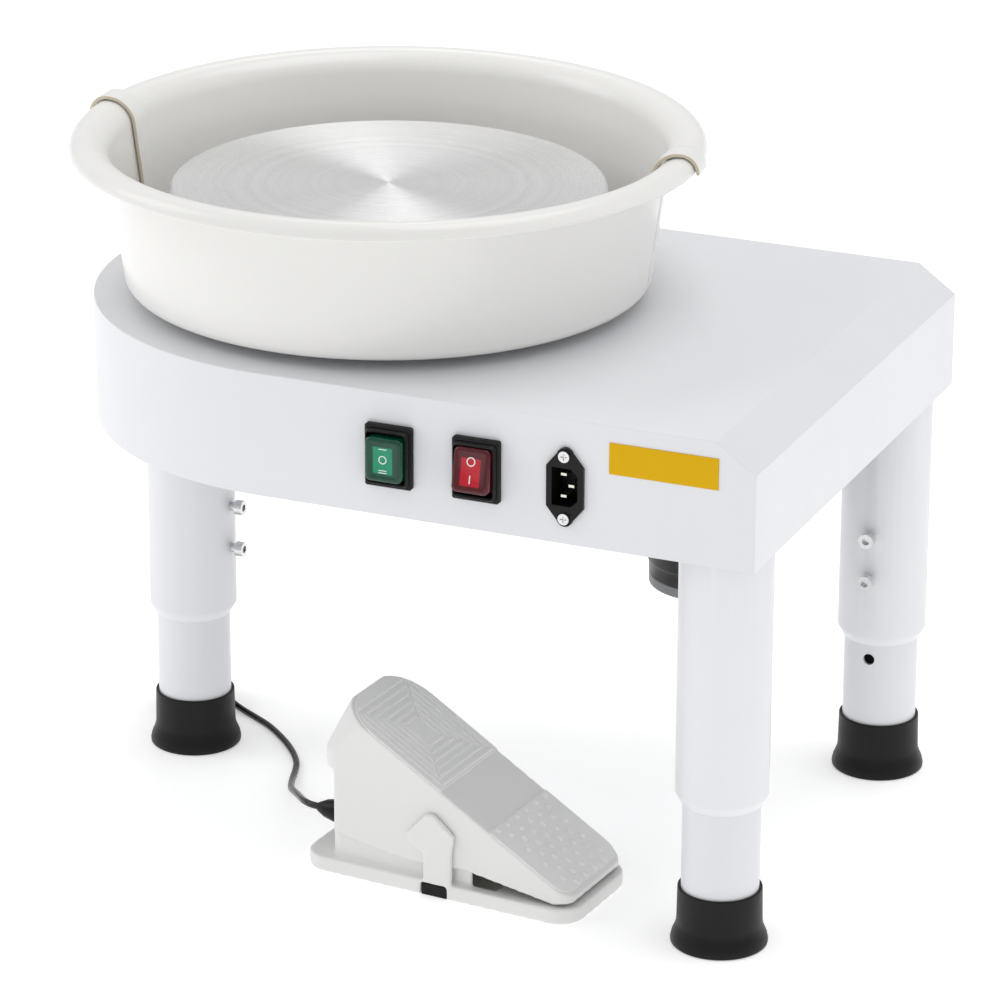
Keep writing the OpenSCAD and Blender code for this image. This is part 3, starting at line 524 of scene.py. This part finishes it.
def make_housing():
    """The shell with a press-brake radius on its outside bends and a fine one on its cut edges."""
    mesh, bm = merged_copy("housing_shell")
    layer = bm.edges.layers.float.new("bevel_weight_edge")
    end_x = max(v.co.x for v in bm.verts)
    half_w, top = HOUSING_HALF_W * MM, HOUSING_TOP * MM
    chamfer = Vector((CHAMFER_DROP, CHAMFER_RUN))

    def outside(co):
        """Whether a point is where two of the housing's outer faces meet."""
        on_side = abs(abs(co.y) - half_w) < 3e-5
        on_end = abs(co.x - end_x) < 3e-5
        on_top = abs(co.z - top) < 3e-5
        from_round = math.hypot(co.x - SPINDLE_X - ROUND_END_X * MM, co.y) - half_w
        on_round = abs(from_round) < 2e-4 and co.x < SPINDLE_X
        run, drop = (end_x - co.x) / MM, (top - co.z) / MM
        from_chamfer = (chamfer.dot((run, drop)) - CHAMFER_RUN * CHAMFER_DROP) / chamfer.length
        on_chamfer = abs(from_chamfer) < 0.05 and run < CHAMFER_RUN + 0.4
        return on_side + on_round + on_end + on_top + on_chamfer >= 2

    for edge in bm.edges:
        if len(edge.link_faces) != 2 or edge.calc_face_angle() < math.radians(20):
            continue
        a, b = edge.verts
        low = HOUSING_BOTTOM * MM + 1e-4
        bend = outside(a.co) and outside(b.co) and (a.co.z > low or b.co.z > low)
        edge[layer] = 1.0 if bend else RIM_R / BEND_R
    bm.to_mesh(mesh)
    bm.free()
    obj = link("housing_look", mesh)
    smooth(obj)
    mod = add_bevel(obj, BEND_R * MM, 4)
    mod.limit_method = "WEIGHT"
    return finish_piece(obj, "housing_shell", M["paint"])


make_housing()

# ---------------------------------------------------------------- splash pan

PAN_T, LAP_STEP, LAP_ANGLE, PAN_TURN = 2.4, 3.4, 5, 4.5
PAN_FLOOR_Z, RIM_MID_Z, COLLAR_R, COLLAR_TOP_Z = 350.2, 445.8, 46, 384
WALL_LOW_R, WALL_LEAN, PAN_RIM_R = 168.8, 7.5, 203


def arc(cx, cz, r, a0, a1, n):
    """Points of an arc from angle a0 to a1."""
    return [(cx + r * math.cos(math.radians(a0 + (a1 - a0) * i / n)),
             cz + r * math.sin(math.radians(a0 + (a1 - a0) * i / n))) for i in range(n + 1)]


# Middle line of the pan's section: collar, floor, leaning wall, flared rim and lip
PAN_LINE = ([(COLLAR_R, COLLAR_TOP_Z), (COLLAR_R, 371)]
            + arc(COLLAR_R + 8, PAN_FLOOR_Z + 8, 8, 180, 270, 8)
            + [(110, PAN_FLOOR_Z)]
            + arc(WALL_LOW_R - 6.4, PAN_FLOOR_Z + 6, 6, -90, -WALL_LEAN, 8)
            + [(172.3, 385.5), (175.4, 409.2)]
            + arc(PAN_RIM_R - 9.8, RIM_MID_Z - 14.8, 14.8, 180 - WALL_LEAN, 90, 12)
            + arc(PAN_RIM_R - 9, RIM_MID_Z - 7.8, 7.8, 84, -4, 12))


def pan_loop(off, thin):
    """The pan's closed section, set off its middle line, its thickness cut by thin on each side."""
    half = PAN_T / 2 - thin
    last = len(PAN_LINE) - 1
    wet, dry = [], []
    for i, (r, z) in enumerate(PAN_LINE):
        ax, az = PAN_LINE[max(i - 1, 0)]
        bx, bz = PAN_LINE[min(i + 1, last)]
        size = math.hypot(bx - ax, bz - az)
        nx, nz = -(bz - az) / size, (bx - ax) / size
        if i in (0, last):
            # The free edges are drawn in a little, and rounded
            tx, tz = (bx - ax) / size, (bz - az) / size
            sign = 1 if i == last else -1
            ends = [(r + nx * (off + half * c) + tx * sign * (half * e - half),
                     z + nz * (off + half * c) + tz * sign * (half * e - half))
                    for c, e in ((1, 0), (0.7, 0.7), (0, 1), (-0.7, 0.7), (-1, 0))]
            if i == 0:
                wet.append(ends[0])
                dry += [ends[1], ends[2], ends[3], ends[4]]
            else:
                wet += ends[:4]
                dry.append(ends[4])
        else:
            wet.append((r + nx * (off + half), z + nz * (off + half)))
            dry.append((r + nx * (off - half), z + nz * (off - half)))
    start = dry[:4]
    return wet + dry[:3:-1] + start[::-1]


def pan_half(name, node, stations, edge_look=None):
    """Lofts the pan's section through stations of (angle, offset, thinning)."""
    verts, faces = [], []
    count = len(pan_loop(0, 0))
    for angle, off, thin in stations:
        a = math.radians(angle + PAN_TURN)
        verts += [(SPINDLE_X / MM + r * math.cos(a), r * math.sin(a), z)
                  for r, z in pan_loop(off, thin)]
    for i in range(len(stations) - 1):
        for k in range(count):
            p, q = i * count + k, i * count + (k + 1) % count
            faces.append((p, p + count, q + count, q))
    for base in (0, (len(stations) - 1) * count):
        face = [base + k for k in range(count)]
        faces.append(tuple(face if base == 0 else face[::-1]))
    obj = mesh_piece(name, verts, faces)
    bm = bmesh.new()
    bm.from_mesh(obj.data)
    bmesh.ops.triangulate(bm, faces=[f for f in bm.faces if len(f.verts) > 4])
    bmesh.ops.recalc_face_normals(bm, faces=bm.faces)
    bm.to_mesh(obj.data)
    bm.free()
    smooth(obj, 50)
    set_material(obj, M["pan"])
    if edge_look:
        obj.data.materials.append(edge_look)
        ends = ((stations[0][0] + PAN_TURN, 1), (stations[-1][0] + PAN_TURN, -1))
        for poly in obj.data.polygons:
            x, y, _ = poly.center
            angle = math.degrees(math.atan2(y, x - SPINDLE_X)) % 360
            near = min((angle - end) * sign for end, sign in ends if (angle - end) * sign > -1)
            poly.material_index = 1 if near < 0.1 else 0
    return finish_piece(obj, node, M["pan"])


def ease(t):
    """A smooth step from 0 to 1."""
    t = min(max(t, 0), 1)
    return t * t * (3 - 2 * t)


def pan_stations(first, last, step_at=None):
    """Angles every 1.5 degrees, closer at the ends, with the back half's ends stepped out."""
    ends = [0, 0.04, 0.14, 0.3]
    thins = [0.75, 0.3, 0.08, 0]
    angles = [(first + e, t) for e, t in zip(ends, thins)]
    inner = sorted(set([first + 0.6 + 0.4 * k for k in range(18)]
                       + [last - 0.6 - 0.4 * k for k in range(18)]
                       + [first + 8 + 1.5 * k for k in range(int((last - first - 16) / 1.5) + 1)]))
    angles += [(a, 0) for a in inner]
    angles += [(last - e, t) for e, t in reversed(list(zip(ends, thins)))]
    out = []
    for a, thin in angles:
        off = 0.0
        if step_at is not None:
            near = min(a - first, last - a)
            off = LAP_STEP * (1 - ease((near - step_at) / 1.5))
        out.append((a, off, thin))
    return out


pan_half("pan_front_look", "pan_front", pan_stations(180 - LAP_ANGLE, 360 + LAP_ANGLE))
pan_half("pan_back_look", "pan_back", pan_stations(0, 180, LAP_ANGLE + 0.4), M["seam"])

# ---------------------------------------------------------------- switches

PANEL_Y = -185
SWITCH_Z, DIRECTION_X, POWER_X = 302, 84.5, 142.4
PIVOT_Y = -1


def rounded_outline(w, h, r, n=5):
    """Corner points of a w by h rectangle with rounded corners, counter-clockwise."""
    points = []
    for cx, cz, a0 in ((w / 2 - r, h / 2 - r, 0), (-w / 2 + r, h / 2 - r, 90),
                       (-w / 2 + r, -h / 2 + r, 180), (w / 2 - r, -h / 2 + r, 270)):
        for k in range(n + 1):
            a = math.radians(a0 + 90 * k / n)
            points.append((cx + r * math.cos(a), cz + r * math.sin(a)))
    return points


def stacked(name, layers, closed_ring=False):
    """Joins layers of (y, outline) into one skin. Each outline has as many (x, z) points."""
    verts, faces = [], []
    n = len(layers[0][1])
    for y, outline in layers:
        verts += [(x, y, z) for x, z in outline]
    for i in range(len(layers) - 1 + closed_ring):
        j = (i + 1) % len(layers)
        for k in range(n):
            faces.append((i * n + k, i * n + (k + 1) % n, j * n + (k + 1) % n, j * n + k))
    if not closed_ring:
        faces.append(tuple(range(n - 1, -1, -1)))
        faces.append(tuple((len(layers) - 1) * n + k for k in range(n)))
    obj = mesh_piece(name, verts, faces)
    bm = bmesh.new()
    bm.from_mesh(obj.data)
    bmesh.ops.recalc_face_normals(bm, faces=bm.faces)
    bm.to_mesh(obj.data)
    bm.free()
    smooth(obj, 40)
    return obj


def join_into(target, others):
    """Merges meshes into one, each keeping its own material."""
    with bpy.context.temp_override(active_object=target,
                                   selected_editable_objects=[target] + others):
        bpy.ops.object.join()
    return target


def place_switch(obj, centre_x, tilt=0.0):
    """Moves a piece drawn about the panel's face to its switch, tilted about the rocker's pivot."""
    pivot = Vector((0, PIVOT_Y * MM, 0))
    obj.matrix_world = (Matrix.Translation((SPINDLE_X + centre_x * MM, PANEL_Y * MM, SWITCH_Z * MM))
                        @ Matrix.Translation(pivot)
                        @ Matrix.Rotation(math.radians(tilt), 4, "X") @ Matrix.Translation(-pivot))
    return obj


def make_switch(kind, node_body, node_cover, centre_x, tilt, marks):
    """Bezel with its raised boot, the cover with its window, and the generic marks on the cover."""
    def ring(name, layers):
        return stacked(name, [(y, rounded_outline(w, h, r)) for y, w, h, r in layers], True)

    bezel = ring(kind + "_switch_bezel", [
        (0, 31, 40, 1.6), (-3.6, 31, 40, 1.6), (-4.5, 29.6, 38.6, 1.4), (-4.5, 28.4, 36, 2.4),
        (-6.9, 27.6, 35, 2.8), (-7.6, 26.8, 34.2, 2.8), (-7.6, 26, 33, 2.4), (-6.9, 25.4, 31.2, 2),
        (-1, 25.2, 30.8, 1), (0, 25.2, 30.8, 1)])
    back = stacked("back", [(y, rounded_outline(22, 29.6, 0.6)) for y in (0, 20)])
    well = stacked("well", [(y, rounded_outline(25.6, 31.2, 0.6)) for y in (-0.3, 0)])
    set_material(bezel, M["boot"])
    for part in (back, well):
        set_material(part, M["black"])
    place_switch(join_into(bezel, [back, well]), centre_x)
    finish_piece(bezel, node_body, M["boot"])

    cover = stacked(kind + "_switch_cover", [(y, rounded_outline(w, h, r)) for y, w, h, r in (
        (-3.8, 24, 28, 3.2), (-10.2, 24, 28, 3.2), (-11.2, 23.3, 27.3, 3), (-11.8, 21.4, 25.4, 2.4),
        (-11.8, 18.4, 22.4, 2), (-11.6, 17.6, 21.6, 1.8))])
    set_material(cover, M[kind + "_lens"])
    parts = []
    sunk, proud = -11.5, -11.72
    for shape, cz, size in marks:
        if shape == "bar":
            w, h = size
            outline = [(-w / 2, cz - h / 2), (w / 2, cz - h / 2), (w / 2, cz + h / 2),
                       (-w / 2, cz + h / 2)]
            part = stacked("mark", [(sunk, outline), (proud, outline)])
        else:
            outer, inner = size
            rings = [[(r * math.cos(math.tau * k / 32), cz + r * math.sin(math.tau * k / 32))
                      for k in range(32)] for r in (outer, inner)]
            part = stacked("mark", [(sunk, rings[0]), (proud, rings[0]), (proud, rings[1]),
                                    (sunk, rings[1])], True)
        set_material(part, M["mark"])
        parts.append(part)
    place_switch(join_into(cover, parts), centre_x, tilt)
    finish_piece(cover, node_cover, M[kind + "_lens"])


make_switch("green", "direction_switch_body", "direction_cover", DIRECTION_X, 0, [
    ("bar", 7.4, (5.4, 0.55)), ("ring", 0.6, (2.7, 2.05)), ("bar", -6.3, (5.4, 0.5)),
    ("bar", -7.8, (5.4, 0.5))])
make_switch("red", "power_switch_body", "power_cover", POWER_X, -12, [
    ("ring", 5.6, (2.9, 2.2)), ("bar", -5.4, (0.7, 5.2))])

# ---------------------------------------------------------------- foot pedal

PEDAL_AT, PEDAL_YAW, TREAD_SLOPE = (0.05, -0.1225, 0), -5, 30.7
HIGH_X, HIGH_Z, PAD_T, PAD_HALF = -71, 116.4, 1.2, 37.8


def on_slope():
    """Space of the treadle's top: x down the slope from its high end, y across, z out of it."""
    z = HIGH_Z - PAD_T / math.cos(math.radians(TREAD_SLOPE))
    return (Matrix.Translation(PEDAL_AT) @ Matrix.Rotation(math.radians(PEDAL_YAW), 4, "Z")
            @ Matrix.Translation((HIGH_X * MM, 0, z * MM))
            @ Matrix.Rotation(math.radians(TREAD_SLOPE), 4, "Y"))


def pad_outline(x0, x1, radius, grow, flip=False, n=14):
    """A pad's outline: big round corners at x0, or at x1 when flipped, and small ones opposite."""
    half, r = PAD_HALF + grow, radius + grow
    low, high, small = x0 - grow, x1 + grow, 1.2
    points = []
    for cx, cy, rad, a0 in ((high - small, half - small, small, 0), (low + r, half - r, r, 90),
                            (low + r, r - half, r, 180), (high - small, small - half, small, 270)):
        for k in range(n + 1):
            a = math.radians(a0 + 90 * k / n)
            points.append((cx + rad * math.cos(a), cy + rad * math.sin(a)))
    if flip:
        points = [(x0 + x1 - x, -y) for x, y in points]
    return points


def pad_plate(name, x0, x1, radius, thick, flip=False):
    """A plate on the slope with a softened top edge, from x0 to x1."""
    layers = [(z, pad_outline(x0, x1, radius, grow, flip))
              for z, grow in ((0, 0), (thick - 0.45, 0), (thick - 0.12, -0.14), (thick, -0.5))]
    n = len(layers[0][1])
    verts = [(x, y, z) for z, outline in layers for x, y in outline]
    faces = []
    for i in range(len(layers) - 1):
        for k in range(n):
            a, b = i * n + k, i * n + (k + 1) % n
            faces.append((a, b, b + n, a + n))
    faces.append(tuple(range(n - 1, -1, -1)))
    faces.append(tuple((len(layers) - 1) * n + k for k in range(n)))
    return mesh_piece(name, verts, faces)


def rib(points, low, high, top_in):
    """A bar over a flat outline, its sides sloping in to the top. points run counter-clockwise."""
    cx = sum(p[0] for p in points) / len(points)
    cy = sum(p[1] for p in points) / len(points)
    n = len(points)
    verts = [(x, y, low) for x, y in points]
    for x, y in points:
        dx = -top_in if x > cx else top_in
        dy = -top_in if y > cy else top_in
        verts.append((x + dx, y + dy, high))
    faces = [(k, (k + 1) % n, (k + 1) % n + n, k + n) for k in range(n)]
    faces.append(tuple(range(n, 2 * n)))
    return mesh_piece("rib", verts, faces)


TOE_START, TOE_END, TOE_R, TOE_MARGIN = 1.5, 85.5, 27, 1.8


def round_end(inward):
    """How far the toe pad's round corner cuts in, at a distance in from either of its edges."""
    if inward >= TOE_R:
        return TOE_MARGIN
    return TOE_R - math.sqrt(max((TOE_R - TOE_MARGIN) ** 2 - (TOE_R - inward) ** 2, 0))


def make_toe_pad():
    """The toe pad: nested rectangles of ribs, with a mitre gap and cut to the pad's round end."""
    pad = pad_plate("toe_pad_look", TOE_START, TOE_END, TOE_R, 0.75)
    mid, wide, gap = 46, 2.7, 0.35
    parts = []

    def within(x, y):
        return x, math.copysign(min(abs(y), PAD_HALF - round_end(x - TOE_START)), y)

    def beyond(x, y):
        return max(x, TOE_START + round_end(PAD_HALF - abs(y))), y

    for k in range(6):
        ax, ay = 9 + k * 5.2, 7.6 + k * 4.7
        for s in (-1, 1):
            near, far = mid + s * ax, mid + s * (ax + wide)
            across = [within(near, gap - ay), within(far, gap - ay - wide),
                      within(far, ay + wide - gap), within(near, ay - gap)]
            parts.append(rib(across if s > 0 else across[::-1], 0.6, 1.5, 0.55))
            inner, outer = s * ay, s * (ay + wide * 0.82)
            along = [beyond(mid - ax + gap, inner), (mid + ax - gap, inner),
                     (mid + ax + wide - gap, outer), beyond(mid - ax - wide + gap, outer)]
            parts.append(rib(along if s > 0 else along[::-1], 0.6, 1.35, 0.5))
    join_into(pad, parts)
    pad.matrix_world = on_slope()
    smooth(pad, 30)
    return finish_piece(pad, "toe_pad", M["grip"])


HEEL_START, HEEL_END, HEEL_R = 125.6, 188.6, 11
DOME_ROWS, DOME_PITCH, ROW_PITCH = 9, 12.4, 7.1


def make_heel_pad():
    """The heel pad: staggered rows of low domes, the row by the hinge one longer."""
    pad = pad_plate("heel_pad_look", HEEL_START, HEEL_END, HEEL_R, 0.8, flip=True)
    verts, faces = [], []
    rows = [(2.3, 0.7), (2.25, 1.2), (1.9, 1.75), (1.25, 2.15), (0.5, 2.3)]
    sides = 14
    for i in range(DOME_ROWS):
        last = 5 if i == 0 else 4 if i % 2 else 3
        for j in range(last + 1):
            cx, cy = HEEL_START + 3 + i * ROW_PITCH, (j - last / 2) * DOME_PITCH
            base = len(verts)
            for r, z in rows:
                verts += [(cx + r * math.cos(math.tau * k / sides),
                           cy + r * math.sin(math.tau * k / sides), z) for k in range(sides)]
            for m in range(len(rows) - 1):
                for k in range(sides):
                    p, q = base + m * sides + k, base + m * sides + (k + 1) % sides
                    faces.append((p, q, q + sides, p + sides))
            faces.append(tuple(base + (len(rows) - 1) * sides + k for k in range(sides)))
    domes = mesh_piece("domes", verts, faces)
    join_into(pad, [domes])
    pad.matrix_world = on_slope()
    smooth(pad, 40)
    return finish_piece(pad, "heel_pad", M["grip"])


make_toe_pad()
make_heel_pad()

# ---------------------------------------------------------------- stage and light


FLOOR_HALF, FLOOR_GLOW, WORLD_GLOW = 14, 0.40, 0.64


def make_floor():
    """A plain white floor, lit a little from within so that it stays white."""
    mesh = bpy.data.meshes.new("floor")
    mesh.from_pydata([(x * FLOOR_HALF, y * FLOOR_HALF, 0)
                      for x, y in ((-1, -1), (1, -1), (1, 1), (-1, 1))], [], [(0, 1, 2, 3)])
    floor = link("floor", mesh)
    mat, tree, shader = node_material("floor_white", (0.9, 0.9, 0.9), 0.8)
    shader.inputs["Emission Color"].default_value = (1, 1, 1, 1)
    shader.inputs["Emission Strength"].default_value = FLOOR_GLOW
    tree.links.new(spread(tree, noise(tree, 3, 2), 0.78, 0.82), shader.inputs["Roughness"])
    set_material(floor, mat)


def area_light(name, at, look_at, size, power):
    """A white rectangular light that looks at a point."""
    data = bpy.data.lights.new(name, "AREA")
    data.shape = "RECTANGLE"
    data.size, data.size_y = size
    data.energy = power
    lamp = link(name, data)
    lamp.location = at
    lamp.rotation_euler = (Vector(look_at) - Vector(at)).to_track_quat("-Z", "Y").to_euler()


make_floor()
area_light("left", (-2.4, -0.7, 1.9), (0, 0, 0.25), (1.4, 1.8), 15)
area_light("right", (2.4, 0.5, 1.5), (0, 0, 0.25), (1.4, 1.6), 2)
area_light("top", (0.6, 0.4, 2.8), (0, 0, 0.3), (2.0, 1.6), 19)
# A small light across the wheel from the camera, for the glint on its turned face
area_light("glint", (-0.75, 1.5, 1.9), (SPINDLE_X, 0, 0.42), (0.45, 0.45), 1.4)

world = bpy.data.worlds.new("studio")
bpy.context.scene.world = world
world.use_nodes = True
world.node_tree.nodes["Background"].inputs["Color"].default_value = (1, 1, 1, 1)
world.node_tree.nodes["Background"].inputs["Strength"].default_value = WORLD_GLOW
bpy.context.scene.view_settings.view_transform = "Standard"
